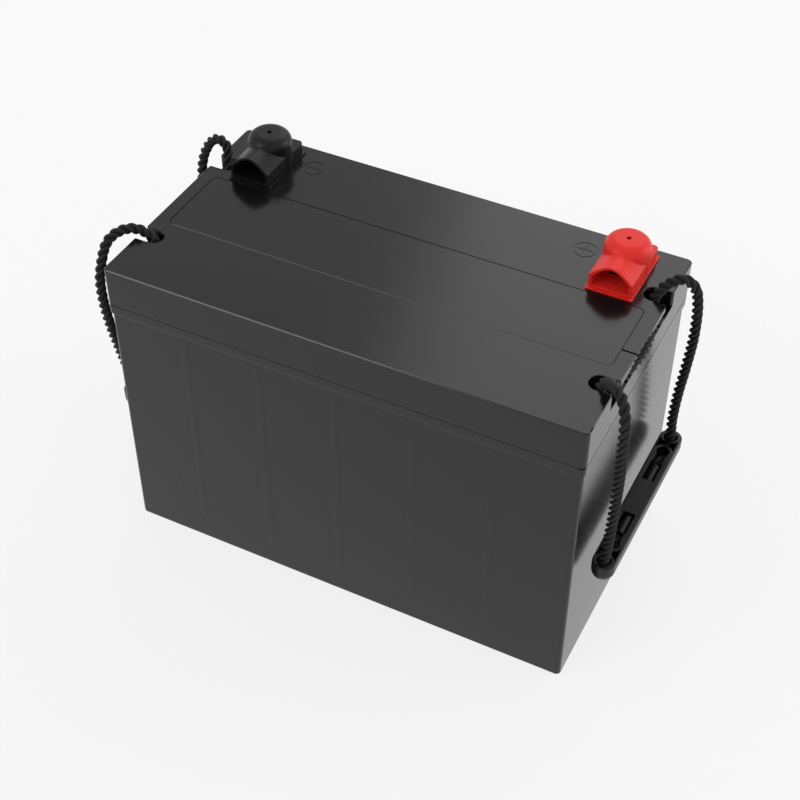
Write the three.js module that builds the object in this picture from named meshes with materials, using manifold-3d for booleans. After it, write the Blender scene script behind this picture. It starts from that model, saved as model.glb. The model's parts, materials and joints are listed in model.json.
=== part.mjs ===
// Deep cycle battery: a sealed 12 V lead-acid block of six cells in one moulded case, with a welded lid, a
// clip-in vent cover, two bolt-on terminals under slip-on boots, and a rope handle with a moulded grip at
// each end. Millimetres, +Z up, origin under the middle of the base. X runs along the long side.

import * as THREE from 'three';
import { mergeVertices } from 'three/addons/utils/BufferGeometryUtils.js';
import Module from 'manifold-3d';

const wasm = await Module();
wasm.setup();

// Driving dimensions
const GAP = 0.3;
const LID = { length: 310, width: 168, bottom: 184.5, top: 211, corner: 3.2 };
const LID_UNDERSIDE = { spine: 15, endBlock: 138, ceiling: 207, endCeiling: 194, boss: 12 };
const CASE = { length: 308, width: 166, height: LID.bottom - GAP, corner: 3, wall: 3.5, floor: 4 };
const BAND = { length: 309.4, width: 167.4, bottom: 177.5 };
const RIB = { width: 3, proud: 0.3, bottom: 22, top: 175 };
const CELL = { count: 6, pitch: 51, partition: 2.2, halfWidth: 79.5 };
const PLATE = { halfWidth: 72, bottom: 8, top: 152, pairs: 5, positive: 3.4, negative: 2.4, gap: 1.5 };
const SEPARATOR = { sheet: 0.9, halfWidth: 74.4, bottom: 6, top: 156 };
const STRAP = { centre: 52, width: 16, bottom: 160, top: 168, lug: 12 };
const STRAP_LINK = { z: 164, radius: 5, start: 12 };
const VENT = { length: 291, width: 54.8, corner: 4, thickness: 2.6, recess: 208 };
const PLENUM = { halfLength: 139, halfWidth: 11.5, floor: 199, roofBelow: 3 };
const NECK = { outer: 5, bore: 3, top: 204.5 };
const VALVE = { radius: 6.5, foot: 199.8, roof: 1.6 };
const SLOT = { y: -11.6, width: 1.3, bottom: 209.2 };
const TERMINAL = { x: 121.5, y: 57.5, bushBottom: 197, flangeTop: 214.3, bush: 7, flange: 10, thread: 4 };
const POST = { radius: 6, bottom: 162 };
const WASHER = { plain: 8.5, plainThickness: 1.6, spring: 6.8, springThickness: 2, split: 1 };
const BOLT = { across: 7.5, head: 5.3, tip: 200.6 };
const BOOT = {
  width: 27, front: 30.5, back: 76, lip: 1.2, flange: 0.8, sill: 2.7, wall: 2.1, floorEnd: 46.5,
  eaves: 221.4, ridge: 230.1, deck: 220.5, roof: 1.8, innerEaves: 220.4,
};
const DOME = { radius: 14.2, top: 234.2, round: 7, hole: 1.5 };
const ARCH_STEPS = 12;
const ROPE = { radius: 3.2, sides: 8 };
const HOLE = { x: 145, y: 43, radius: 6.25, floor: 197, reach: 7 };
const GROOVE = { bottom: 200.1, top: 207.1, depth: 8, lip: 1.2 };
const GRIP = { x: 165.5, top: 90, width: 14.5, height: 14, holeY: 58, ringY: 43.5, hole: 4.6, ring: 4.2 };
const GRIP_TUNNEL = { depth: 11.5, floor: 1, roof: 5.6, half: 3.4 };
const POCKET = { inner: 15.5, outer: 33.3, width: 7.6, depth: 8.6 };
const FERRULE = { radius: 3.5, length: 15.4, below: 4.6 };
const BEND = { inner: 3.6, middle: 5, outer: 3.6, fixed: 4.6 };

// Routes of the handle ropes, from each lid hole out over the edge and down to the grip, with X outward
const LEGS = {
  right: {
    front: {
      side: -1,
      inner: [148, -44.3, 213],
      middle: [160.2, -58.5, 224.2],
      outer: [169.4, -68.7, 209],
      hang: [[170, -69.6, 197], [169.8, -67.7, 183.6], [169.4, -65.2, 169], [168.6, -62.8, 148],
        [167.5, -60.6, 124], [166.3, -58.8, 102]],
    },
    back: {
      side: 1,
      inner: [147.8, 42.6, 213.6],
      middle: [159.8, 46.3, 224.6],
      outer: [169.2, 51.1, 208.4],
      hang: [[170, 52, 197.5], [170, 53.2, 180.2], [169, 54.6, 165.3], [167.6, 55.6, 149.5],
        [165.6, 56.6, 128], [164.6, 57.7, 104]],
    },
  },
  left: {
    front: {
      side: -1,
      inner: [148.6, -43.2, 211],
      middle: [159, -48.4, 216.6],
      outer: [169.4, -61, 206.8],
      hang: [[170.9, -65, 196.4], [171, -68.4, 186], [170.4, -69.5, 172], [169.5, -68.1, 152.6],
        [168.3, -64, 128], [166.8, -59.8, 104]],
    },
    back: {
      side: 1,
      inner: [147.6, 47, 213],
      middle: [158, 52.4, 219.6],
      outer: [168.8, 51.2, 206.2],
      hang: [[170.6, 49.6, 195], [171.2, 50.6, 177], [169.4, 53, 151], [166, 55.6, 125], [164.8, 57.5, 103]],
    },
  },
};

const materials = {
  case: new THREE.MeshStandardMaterial({ color: 0x232325, roughness: 0.35 }),
  vent: new THREE.MeshStandardMaterial({ color: 0x262628, roughness: 0.35 }),
  red: new THREE.MeshStandardMaterial({ color: 0xd8332c, roughness: 0.5 }),
  blackBoot: new THREE.MeshStandardMaterial({ color: 0x202022, roughness: 0.5 }),
  rubber: new THREE.MeshStandardMaterial({ color: 0x161616, roughness: 0.8 }),
  brass: new THREE.MeshStandardMaterial({ color: 0xb08d45, roughness: 0.35, metalness: 1 }),
  steel: new THREE.MeshStandardMaterial({ color: 0xa9acb0, roughness: 0.3, metalness: 1 }),
  lead: new THREE.MeshStandardMaterial({ color: 0x6d7076, roughness: 0.55, metalness: 1 }),
  positive: new THREE.MeshStandardMaterial({ color: 0x4a2f26, roughness: 0.85 }),
  glassMat: new THREE.MeshStandardMaterial({ color: 0xe9e7df, roughness: 0.95 }),
  rope: new THREE.MeshStandardMaterial({ color: 0x1c1c1d, roughness: 0.7 }),
  grip: new THREE.MeshStandardMaterial({ color: 0x1f1f20, roughness: 0.45 }),
};

// Solids: a three.js geometry becomes a manifold to be cut and joined, and comes back as a geometry
function solid(geometry) {
  const bare = geometry.index ? geometry.clone() : geometry;
  bare.deleteAttribute('normal');
  bare.deleteAttribute('uv');
  const merged = mergeVertices(bare, 1e-4);
  return new wasm.Manifold(new wasm.Mesh({
    numProp: 3,
    vertProperties: new Float32Array(merged.attributes.position.array),
    triVerts: new Uint32Array(merged.index.array),
  }));
}

function geometryOf(body) {
  const mesh = body.getMesh();
  const geometry = new THREE.BufferGeometry();
  geometry.setAttribute('position', new THREE.BufferAttribute(mesh.vertProperties, 3));
  geometry.setIndex(new THREE.BufferAttribute(mesh.triVerts, 1));
  geometry.computeVertexNormals();
  return geometry;
}

const join = (bodies) => bodies.reduce((all, body) => all.add(body));
const cut = (body, tools) => tools.reduce((left, tool) => left.subtract(tool), body);
const ordered = (a, b) => (a < b ? [a, b] : [b, a]);

function box(x0, x1, y0, y1, z0, z1) {
  const geometry = new THREE.BoxGeometry(x1 - x0, y1 - y0, z1 - z0);
  return solid(geometry.translate((x0 + x1) / 2, (y0 + y1) / 2, (z0 + z1) / 2));
}

function roundedRectangle(length, width, corner) {
  const [x, y] = [length / 2, width / 2];
  const shape = new THREE.Shape();
  shape.moveTo(x, -y + corner);
  shape.absarc(x - corner, y - corner, corner, 0, Math.PI / 2);
  shape.absarc(-x + corner, y - corner, corner, Math.PI / 2, Math.PI);
  shape.absarc(-x + corner, -y + corner, corner, Math.PI, Math.PI * 1.5);
  shape.absarc(x - corner, -y + corner, corner, Math.PI * 1.5, Math.PI * 2);
  return shape;
}

function extruded(shape, depth, curveSegments = 4) {
  return new THREE.ExtrudeGeometry(shape, { depth, bevelEnabled: false, curveSegments });
}

function slab(length, width, corner, z0, z1, segments = 4) {
  const shape = roundedRectangle(length, width, corner);
  return solid(extruded(shape, z1 - z0, segments).translate(0, 0, z0));
}

function post(radius, z0, z1, x, y, sides = 16) {
  const geometry = new THREE.CylinderGeometry(radius, radius, z1 - z0, sides);
  return solid(geometry.rotateX(Math.PI / 2).translate(x, y, (z0 + z1) / 2));
}

function turned(profile, x, y, sides = 16) {
  const outline = profile.map(([r, z]) => new THREE.Vector2(r, z));
  return solid(new THREE.LatheGeometry(outline, sides).rotateX(Math.PI / 2).translate(x, y, 0));
}

const group = new THREE.Group();

function place(name, body, material) {
  const mesh = new THREE.Mesh(geometryOf(body), material);
  mesh.name = name;
  group.add(mesh);
}

const partitionX = [-2, -1, 0, 1, 2].map((k) => k * CELL.pitch);
const cells = Array.from({ length: CELL.count }, (_, i) => {
  const end = CASE.length / 2 - CASE.wall;
  const low = i === 0 ? -end : partitionX[i - 1] + CELL.partition / 2;
  const high = i === CELL.count - 1 ? end : partitionX[i] - CELL.partition / 2;
  return { low, high, centre: (low + high) / 2, negativeSide: i % 2 === 0 ? 1 : -1 };
});
const linkSide = (i) => -cells[i].negativeSide;

// Case: a tall open box with a proud band round its mouth, ribs that mark the cells, and five partitions
function buildCase() {
  const outer = [
    slab(CASE.length, CASE.width, CASE.corner, 0, CASE.height),
    slab(BAND.length, BAND.width, CASE.corner, BAND.bottom, CASE.height),
  ];
  for (const x of partitionX) {
    const reach = CASE.width / 2 + RIB.proud;
    outer.push(box(x - RIB.width / 2, x + RIB.width / 2, -reach, reach, RIB.bottom, RIB.top));
  }
  const hollows = cells.map((c) => box(
    c.low, c.high, -CELL.halfWidth, CELL.halfWidth, CASE.floor, CASE.height + 1));
  const links = partitionX.map((x, i) => {
    const hole = new THREE.CylinderGeometry(STRAP_LINK.radius + GAP, STRAP_LINK.radius + GAP, 6, 12);
    return solid(hole.rotateZ(Math.PI / 2).translate(x, linkSide(i) * STRAP.centre, STRAP_LINK.z));
  });
  return cut(join(outer), [...hollows, ...links]);
}

// Lid: cell domes below; on top the vent recess and its plenum, and at each end two rope holes that open
// outward to the end face, where a groove runs between them
function buildLid() {
  const body = slab(LID.length, LID.width, LID.corner, LID.bottom, LID.top, 5);
  const { spine, endBlock, ceiling, endCeiling, boss } = LID_UNDERSIDE;
  const tools = [];
  for (const c of cells) {
    const [low, high] = [Math.max(c.low, -endBlock), Math.min(c.high, endBlock)];
    for (const side of [-1, 1]) {
      const [y0, y1] = ordered(side * spine, side * CELL.halfWidth);
      tools.push(box(low, high, y0, y1, LID.bottom - 1, ceiling));
    }
    tools.push(box(low, high, -spine - 1, spine + 1, LID.bottom - 1, PLENUM.floor - PLENUM.roofBelow));
  }
  const inside = CASE.length / 2 - CASE.wall;
  for (const [x0, x1] of [[-inside, -endBlock + 1], [endBlock - 1, inside]]) {
    tools.push(box(x0, x1, -CELL.halfWidth, CELL.halfWidth, LID.bottom - 1, endCeiling));
  }
  const bosses = [-1, 1].map((s) => post(
    boss, TERMINAL.bushBottom, ceiling + 1, s * TERMINAL.x, TERMINAL.y, 20));
  let lid = join([cut(body, tools), ...bosses]);

  const upper = [
    slab(VENT.length + 2 * GAP, VENT.width + 2 * GAP, VENT.corner + GAP, VENT.recess, LID.top + 1),
    box(-PLENUM.halfLength, PLENUM.halfLength, -PLENUM.halfWidth, PLENUM.halfWidth,
      PLENUM.floor, VENT.recess + 1),
    box(VENT.length / 2, LID.length / 2 + 1, SLOT.y - SLOT.width / 2, SLOT.y + SLOT.width / 2,
      SLOT.bottom, LID.top + 1),
  ];
  for (const s of [-1, 1]) {
    upper.push(post(TERMINAL.bush + GAP, LID.bottom, LID.top + 1, s * TERMINAL.x, TERMINAL.y, 20));
    const [inner, end] = [LID.length / 2 - GROOVE.depth, LID.length / 2 + 1];
    const span = (a, b, ...rest) => box(...ordered(s * a, s * b), ...rest);
    upper.push(span(inner, end, -HOLE.y, HOLE.y, GROOVE.bottom, GROOVE.top));
    for (const t of [-1, 1]) {
      const [near, far] = [HOLE.y - HOLE.radius, HOLE.y + HOLE.radius];
      const mouth = ordered(t * near, t * far);
      const passage = ordered(t * (near - HOLE.reach), t * far);
      upper.push(post(HOLE.radius, HOLE.floor, LID.top + 1, s * HOLE.x, t * HOLE.y, 20));
      upper.push(span(HOLE.x, end, ...mouth, GROOVE.bottom, LID.top + 1));
      upper.push(span(HOLE.x - 2, LID.length / 2 - GROOVE.lip, ...passage, HOLE.floor, GROOVE.top));
    }
  }
  lid = cut(lid, upper);
  const necks = cells.map((c) => post(NECK.outer, PLENUM.floor - 1, NECK.top, c.centre, 0, 12));
  const bores = cells.map((c) => post(NECK.bore, LID.bottom, NECK.top + 1, c.centre, 0, 10));
  return cut(join([lid, ...necks]), bores);
}

function buildVentCover() {
  const z = VENT.recess + GAP;
  return slab(VENT.length, VENT.width, VENT.corner, z, z + VENT.thickness);
}

function buildValve(x) {
  const [inner, roof] = [NECK.outer + GAP, NECK.top + GAP];
  const { radius, foot } = VALVE;
  const top = roof + VALVE.roof;
  const profile = [[0, roof], [inner, roof], [inner, foot], [radius, foot], [radius, top], [0, top]];
  return turned(profile, x, 0, 12);
}

// Cell stack, six negative and five positive plates by turns along X, with one folded sheet between them
function plateSlots(centre) {
  const { pairs, positive, negative, gap } = PLATE;
  const total = (pairs + 1) * negative + pairs * positive + 2 * pairs * gap;
  let x = centre - total / 2;
  return Array.from({ length: 2 * pairs + 1 }, (_, i) => {
    const thickness = i % 2 === 0 ? negative : positive;
    const slot = { x0: x, x1: x + thickness, negative: i % 2 === 0 };
    x += thickness + gap;
    return slot;
  });
}

function buildPlates(index, negative) {
  const c = cells[index];
  const side = negative ? c.negativeSide : -c.negativeSide;
  const y = side * STRAP.centre;
  const slots = plateSlots(c.centre).filter((s) => s.negative === negative);
  const bodies = slots.flatMap(({ x0, x1 }) => [
    box(x0, x1, -PLATE.halfWidth, PLATE.halfWidth, PLATE.bottom, PLATE.top),
    box(x0, x1, y - STRAP.lug / 2, y + STRAP.lug / 2, PLATE.top - 1, STRAP.bottom + 1),
  ]);
  const [first, last] = [slots[0].x0, slots[slots.length - 1].x1];
  bodies.push(box(first, last, y - STRAP.width / 2, y + STRAP.width / 2, STRAP.bottom, STRAP.top));
  const toward = negative ? -1 : 1;
  const neighbour = index + toward;
  if (neighbour >= 0 && neighbour < CELL.count) {
    const wall = partitionX[Math.min(index, neighbour)] - toward * GAP / 2;
    const start = c.centre + toward * STRAP_LINK.start;
    const link = new THREE.CylinderGeometry(STRAP_LINK.radius, STRAP_LINK.radius, Math.abs(wall - start), 12);
    bodies.push(solid(link.rotateZ(Math.PI / 2).translate((wall + start) / 2, y, STRAP_LINK.z)));
  } else {
    const x = toward * TERMINAL.x;
    bodies.push(post(POST.radius, POST.bottom, TERMINAL.bushBottom - GAP, x, TERMINAL.y));
  }
  return join(bodies);
}

function buildSeparator(index) {
  const sheets = plateSlots(cells[index].centre).slice(0, -1).map((s) => s.x1 + PLATE.gap / 2);
  const half = SEPARATOR.sheet / 2;
  const reach = SEPARATOR.halfWidth - half;
  const route = sheets.flatMap((x, i) => {
    const start = i % 2 === 0 ? -reach : reach;
    return [[x, start], [x, -start]];
  });
  const normal = ([x0, y0], [x1, y1]) => {
    const length = Math.hypot(x1 - x0, y1 - y0);
    return [(y0 - y1) / length, (x1 - x0) / length];
  };
  const offset = (side) => route.map((p, i) => {
    const before = i > 0 ? normal(route[i - 1], p) : [0, 0];
    const after = i < route.length - 1 ? normal(p, route[i + 1]) : [0, 0];
    return new THREE.Vector2(...p.map((value, axis) => value + side * half * (before[axis] + after[axis])));
  });
  const shape = new THREE.Shape([...offset(1), ...offset(-1).reverse()]);
  return solid(extruded(shape, SEPARATOR.top - SEPARATOR.bottom).translate(0, 0, SEPARATOR.bottom));
}

// Terminal stack: threaded bush in the lid, plain washer, split spring washer, hexagon bolt
function buildBush(x) {
  const { bush, flange, thread, bushBottom, flangeTop } = TERMINAL;
  const [bore, seat] = [thread + GAP, LID.top + GAP];
  return turned([[0, bushBottom], [bush, bushBottom], [bush, seat], [flange, seat], [flange, flangeTop],
    [bore, flangeTop], [bore, bushBottom + 3], [0, bushBottom + 3]], x, TERMINAL.y, 16);
}

const plainWasherTop = TERMINAL.flangeTop + GAP + WASHER.plainThickness;
const springWasherTop = plainWasherTop + GAP + WASHER.springThickness;

function washer(rim, bottom, top, x) {
  const bore = TERMINAL.thread + GAP;
  return turned([[bore, bottom], [rim, bottom], [rim, top], [bore, top], [bore, bottom]], x, TERMINAL.y, 16);
}

function buildPlainWasher(x) {
  return washer(WASHER.plain, TERMINAL.flangeTop + GAP, plainWasherTop, x);
}

function buildSpringWasher(x) {
  const bottom = plainWasherTop + GAP;
  const half = WASHER.split / 2;
  const outside = TERMINAL.y - WASHER.spring - 1;
  const split = box(x - half, x + half, outside, TERMINAL.y, bottom - 1, springWasherTop + 1);
  return cut(washer(WASHER.spring, bottom, springWasherTop, x), [split]);
}

function buildBolt(x) {
  const head = new THREE.CylinderGeometry(BOLT.across, BOLT.across, BOLT.head, 6).rotateX(Math.PI / 2);
  const bottom = springWasherTop + GAP;
  return join([
    solid(head.translate(x, TERMINAL.y, bottom + BOLT.head / 2)),
    post(TERMINAL.thread, BOLT.tip, bottom + 1, x, TERMINAL.y, 12),
  ]);
}

// Boot: a flanged tunnel with an arched roof and a floor for the cable, a low deck and a domed cap
function tunnel(halfWidth, eaves, ridge, bottom, y0, y1, x) {
  const shape = new THREE.Shape();
  shape.moveTo(-halfWidth, bottom);
  shape.lineTo(halfWidth, bottom);
  for (let i = 0; i <= ARCH_STEPS; i += 1) {
    const across = 1 - (2 * i) / ARCH_STEPS;
    shape.lineTo(halfWidth * across, eaves + (ridge - eaves) * Math.cos((across * Math.PI) / 2));
  }
  shape.closePath();
  return solid(extruded(shape, y1 - y0).rotateX(Math.PI / 2).translate(x, y1, 0));
}

function dome(radius, bottom, top, round, x) {
  const corner = Array.from({ length: 4 }, (_, i) => {
    const a = (i / 3) * Math.PI / 2;
    return [radius - round + round * Math.cos(a), top - round + round * Math.sin(a)];
  });
  return turned([[0, bottom], [radius, bottom], ...corner, [0, top]], x, TERMINAL.y, 18);
}

function buildBoot(x) {
  const { width, front, back, lip, flange, sill, wall, floorEnd, eaves, ridge, deck, roof, innerEaves } = BOOT;
  const base = LID.top + GAP;
  const half = width / 2;
  const inside = [half - wall, innerEaves, ridge - roof];
  const outer = join([
    box(x - half - lip, x + half + lip, front - lip, back + lip, base, base + flange),
    tunnel(half, eaves, ridge, base, front, TERMINAL.y, x),
    box(x - half, x + half, TERMINAL.y - 1, back, base, deck),
    dome(DOME.radius, base, DOME.top, DOME.round, x),
  ]);
  return cut(outer, [
    tunnel(...inside, base - 1, floorEnd, TERMINAL.y, x),
    tunnel(...inside, base + sill, front - lip - 1, floorEnd + 1, x),
    box(x - half + wall, x + half - wall, TERMINAL.y - 2, back - wall, base - 1, deck - roof),
    dome(DOME.radius - wall, base + flange + 1, DOME.top - roof, DOME.round - 1, x),
    post(DOME.hole, DOME.top - 2 * roof, DOME.top + 1, x, TERMINAL.y, 10),
  ]);
}

// Rope: a plain round tube along a curve, with rounded ends where it meets a bend
function tube(points, steps) {
  const knots = points.map((p) => new THREE.Vector3(...p));
  const curve = new THREE.CatmullRomCurve3(knots, false, 'centripetal');
  const section = new THREE.Shape();
  for (let i = 0; i < ROPE.sides; i += 1) {
    const a = (i / ROPE.sides) * Math.PI * 2;
    const point = [ROPE.radius * Math.cos(a), ROPE.radius * Math.sin(a)];
    if (i === 0) section.moveTo(...point);
    else section.lineTo(...point);
  }
  section.closePath();
  return solid(new THREE.ExtrudeGeometry(section, { steps, bevelEnabled: false, extrudePath: curve }));
}

function ball([x, y, z]) {
  return solid(new THREE.SphereGeometry(ROPE.radius * 0.98, 8, 5).translate(x, y, z));
}

const along = (from, to, distance) => {
  const [a, b] = [new THREE.Vector3(...from), new THREE.Vector3(...to)];
  return a.clone().add(b.sub(a).setLength(distance)).toArray();
};

function link(from, to, startGap, endGap) {
  const [a, b] = [along(from, to, startGap), along(to, from, endGap)];
  const [start, end] = [new THREE.Vector3(...a), new THREE.Vector3(...b)];
  const length = start.distanceTo(end);
  const capsule = new THREE.CapsuleGeometry(ROPE.radius, length, 3, 8);
  const turn = new THREE.Quaternion().setFromUnitVectors(
    new THREE.Vector3(0, 1, 0), end.clone().sub(start).normalize());
  return solid(capsule.applyQuaternion(turn).translate(...start.add(end).multiplyScalar(0.5).toArray()));
}

const mirrored = (mirror) => (point) => [mirror * point[0], point[1], point[2]];

function buildFixedRope(legs, mirror) {
  const down = (leg) => {
    const end = along(leg.inner, [HOLE.x + 0.6, leg.side * HOLE.y, 208], BEND.fixed);
    return [end, [HOLE.x + 0.4, leg.side * HOLE.y, 204.5], [HOLE.x + 2.2, leg.side * (HOLE.y - 3), 201.4],
      [LID.length / 2 - 4.2, leg.side * (HOLE.y - 9), 203], [LID.length / 2 - 2.2, leg.side * 22, 203.6]];
  };
  const route = [...down(legs.front), [LID.length / 2 + 0.8, 0, 203.6], ...down(legs.back).reverse()];
  return tube(route.map(mirrored(mirror)), 26);
}

function buildLeg(leg, mirror) {
  const { side } = leg;
  const inGrip = [
    [GRIP.x, side * GRIP.holeY, GRIP.top - 1], [GRIP.x, side * (GRIP.holeY - 0.6), GRIP.top - 6.6],
    [GRIP.x, side * (GRIP.holeY - 4.6), GRIP.top - 9.4], [GRIP.x, side * (GRIP.ringY + 2), GRIP.top - 9.2],
    [GRIP.x, side * (GRIP.ringY - 4.6), GRIP.top - 5.4],
    [GRIP.x, side * (POCKET.outer + 0.2), GRIP.top - FERRULE.below],
  ];
  const start = along(leg.outer, leg.hang[0], BEND.outer);
  const route = [start, ...leg.hang, ...inGrip].map(mirrored(mirror));
  return join([tube(route, 22), ball(route[0])]);
}

// Grip: a half-round bar whose flat face carries, at each end, a rope hole, a second hole and a pocket
function buildGrip(mirror) {
  const half = GRIP.width / 2;
  const x = mirror * GRIP.x;
  const bottom = GRIP.top - GRIP.height;
  const belly = bottom + half;
  const bar = new THREE.CylinderGeometry(half, half, GRIP.holeY * 2, 12).translate(0, 0, belly);
  const ends = [-1, 1].map((s) => new THREE.SphereGeometry(half, 12, 6).rotateX(Math.PI / 2)
    .translate(0, s * GRIP.holeY, belly));
  const upper = slab(GRIP.width, GRIP.holeY * 2 + GRIP.width, half - 0.01, belly, GRIP.top, 3);
  const body = join([solid(bar), ...ends.map(solid), upper]);
  const tools = [];
  const { depth, floor, roof, half: reach } = GRIP_TUNNEL;
  for (const s of [-1, 1]) {
    const between = (a, b) => ordered(s * a, s * b);
    tools.push(post(GRIP.hole, GRIP.top - depth, GRIP.top + 1, 0, s * GRIP.holeY, 12));
    tools.push(post(GRIP.ring, GRIP.top - depth, GRIP.top + 1, 0, s * GRIP.ringY, 12));
    tools.push(box(-reach, reach, ...between(GRIP.ringY - roof, GRIP.holeY + 2),
      bottom + floor, GRIP.top - roof));
    tools.push(box(-reach, reach, ...between(POCKET.outer - 1, GRIP.ringY),
      GRIP.top - POCKET.depth - 1, GRIP.top + 1));
    tools.push(box(-POCKET.width / 2, POCKET.width / 2, ...between(POCKET.inner, POCKET.outer),
      GRIP.top - POCKET.depth, GRIP.top + 1));
  }
  return cut(body, tools).translate([x, 0, 0]);
}

function buildFerrule(mirror, side) {
  const y = side * (POCKET.inner + 3 * GAP + FERRULE.length / 2);
  const sleeve = new THREE.CylinderGeometry(FERRULE.radius, FERRULE.radius, FERRULE.length, 12);
  return solid(sleeve.translate(mirror * GRIP.x, y, GRIP.top - FERRULE.below));
}

place('case', buildCase(), materials.case);
place('lid', buildLid(), materials.case);
place('vent_cover', buildVentCover(), materials.vent);
cells.forEach((c, i) => {
  place(`vent_valve_${i + 1}`, buildValve(c.centre), materials.rubber);
  place(`cell_${i + 1}_negative_plates`, buildPlates(i, true), materials.lead);
  place(`cell_${i + 1}_positive_plates`, buildPlates(i, false), materials.positive);
  place(`cell_${i + 1}_separator`, buildSeparator(i), materials.glassMat);
});

for (const [pole, s, boot] of [['negative', -1, materials.blackBoot], ['positive', 1, materials.red]]) {
  const x = s * TERMINAL.x;
  place(`${pole}_terminal_bush`, buildBush(x), materials.brass);
  place(`${pole}_plain_washer`, buildPlainWasher(x), materials.steel);
  place(`${pole}_spring_washer`, buildSpringWasher(x), materials.steel);
  place(`${pole}_terminal_bolt`, buildBolt(x), materials.steel);
  place(`${pole}_terminal_cover`, buildBoot(x), boot);
}

for (const [end, mirror] of [['left', -1], ['right', 1]]) {
  place(`${end}_rope_through_lid`, buildFixedRope(LEGS[end], mirror), materials.rope);
  place(`${end}_grip`, buildGrip(mirror), materials.grip);
  for (const [name, leg] of Object.entries(LEGS[end])) {
    const [a, b, c] = [leg.inner, leg.middle, leg.outer].map(mirrored(mirror));
    place(`${end}_${name}_rope_rise`, link(a, b, BEND.inner, BEND.middle), materials.rope);
    place(`${end}_${name}_rope_fall`, link(b, c, BEND.middle, BEND.outer), materials.rope);
    place(`${end}_${name}_rope_leg`, buildLeg(leg, mirror), materials.rope);
    place(`${end}_${name}_ferrule`, buildFerrule(mirror, leg.side), materials.grip);
  }
}

export default group;
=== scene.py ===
import json
import math

import bmesh
import bpy
from mathutils import Matrix, Vector


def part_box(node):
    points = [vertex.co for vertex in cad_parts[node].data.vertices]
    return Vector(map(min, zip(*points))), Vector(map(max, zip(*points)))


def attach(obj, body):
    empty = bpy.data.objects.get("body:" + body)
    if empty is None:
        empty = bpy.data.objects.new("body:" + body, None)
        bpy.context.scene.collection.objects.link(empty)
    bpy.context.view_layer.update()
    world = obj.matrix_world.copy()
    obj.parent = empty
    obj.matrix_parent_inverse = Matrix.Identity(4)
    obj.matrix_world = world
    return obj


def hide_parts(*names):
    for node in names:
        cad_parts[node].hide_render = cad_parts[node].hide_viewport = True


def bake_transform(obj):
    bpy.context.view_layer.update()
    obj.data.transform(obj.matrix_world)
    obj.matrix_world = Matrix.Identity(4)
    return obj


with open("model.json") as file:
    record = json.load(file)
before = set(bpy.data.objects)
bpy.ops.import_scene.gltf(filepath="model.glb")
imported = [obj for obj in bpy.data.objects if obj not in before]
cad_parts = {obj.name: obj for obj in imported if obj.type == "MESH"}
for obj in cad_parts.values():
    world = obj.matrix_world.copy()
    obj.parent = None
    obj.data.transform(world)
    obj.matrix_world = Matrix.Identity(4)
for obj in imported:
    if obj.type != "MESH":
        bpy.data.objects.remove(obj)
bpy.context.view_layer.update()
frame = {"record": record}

mm = 0.001                                   # every size below is in millimetres
tiny = 0.01                                  # stands in for nothing where a ring may not close up


# ---- camera: looks down at the battery's front and right end
view = {"azimuth": 26.67, "elevation": 43.24, "roll": 0.24, "lens": 69.49, "sensor": 36,
        "place": (326.4, -647.67, 782.35)}


def addCamera():
    lens = bpy.data.cameras.new("camera")
    lens.lens = view["lens"]
    lens.sensor_width = view["sensor"]
    camera = bpy.data.objects.new("camera", lens)
    turn = Matrix.Rotation(math.radians(view["azimuth"]), 4, "Z")
    tilt = Matrix.Rotation(math.radians(90 - view["elevation"]), 4, "X")
    roll = Matrix.Rotation(math.radians(view["roll"]), 4, "Z")
    camera.matrix_world = Matrix.Translation(Vector(view["place"]) * mm) @ turn @ tilt @ roll
    bpy.context.collection.objects.link(camera)
    bpy.context.scene.camera = camera


addCamera()


# ---- mesh tools
def meshPiece(name, points, faces):
    mesh = bpy.data.meshes.new(name)
    mesh.from_pydata([Vector(p) * mm for p in points], [], faces)
    shape = bmesh.new()
    shape.from_mesh(mesh)
    bmesh.ops.recalc_face_normals(shape, faces=shape.faces)
    shape.to_mesh(mesh)
    shape.free()
    piece = bpy.data.objects.new(name, mesh)
    bpy.context.collection.objects.link(piece)
    return piece


def loft(name, rings, loop=False):           # a skin through rings of equal count, closed at both ends
    count = len(rings[0])
    points = [p for ring in rings for p in ring]
    faces = []
    for r in range(len(rings) if loop else len(rings) - 1):
        a, b = r * count, (r + 1) % len(rings) * count
        faces += [(a + i, a + (i + 1) % count, b + (i + 1) % count, b + i) for i in range(count)]
    if not loop:
        faces += [tuple(range(count)), tuple(range(len(points) - count, len(points)))]
    return meshPiece(name, points, faces)


def roundedRing(halfX, halfY, corner, z, centre=(0, 0), steps=8):
    points = []
    for quarter, (sx, sy) in enumerate(((1, 1), (-1, 1), (-1, -1), (1, -1))):
        for i in range(steps + 1):
            angle = (quarter + i / steps) * math.pi / 2
            points.append((centre[0] + sx * (halfX - corner) + corner * math.cos(angle),
                           centre[1] + sy * (halfY - corner) + corner * math.sin(angle), z))
    return points


def edgeLevels(bottom, top, foot, brow, steps=4):   # (inset, z) pairs that round the two rims
    levels = []
    for i in range(steps + 1 if foot else 1):
        a = i / steps * math.pi / 2
        levels.append((foot * (1 - math.sin(a)), bottom + foot * (1 - math.cos(a))))
    for i in range(steps + 1 if brow else 1):
        a = i / steps * math.pi / 2
        levels.append((brow * (1 - math.cos(a)), top - brow * (1 - math.sin(a))))
    return levels


def block(name, halfX, halfY, corner, bottom, top, foot=0.0, brow=0.0, centre=(0, 0), steps=8, edge=4):
    return loft(name, [
        roundedRing(halfX - inset, halfY - inset, max(corner - inset, tiny), z, centre, steps)
        for inset, z in edgeLevels(bottom, top, foot, brow, edge)])


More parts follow.
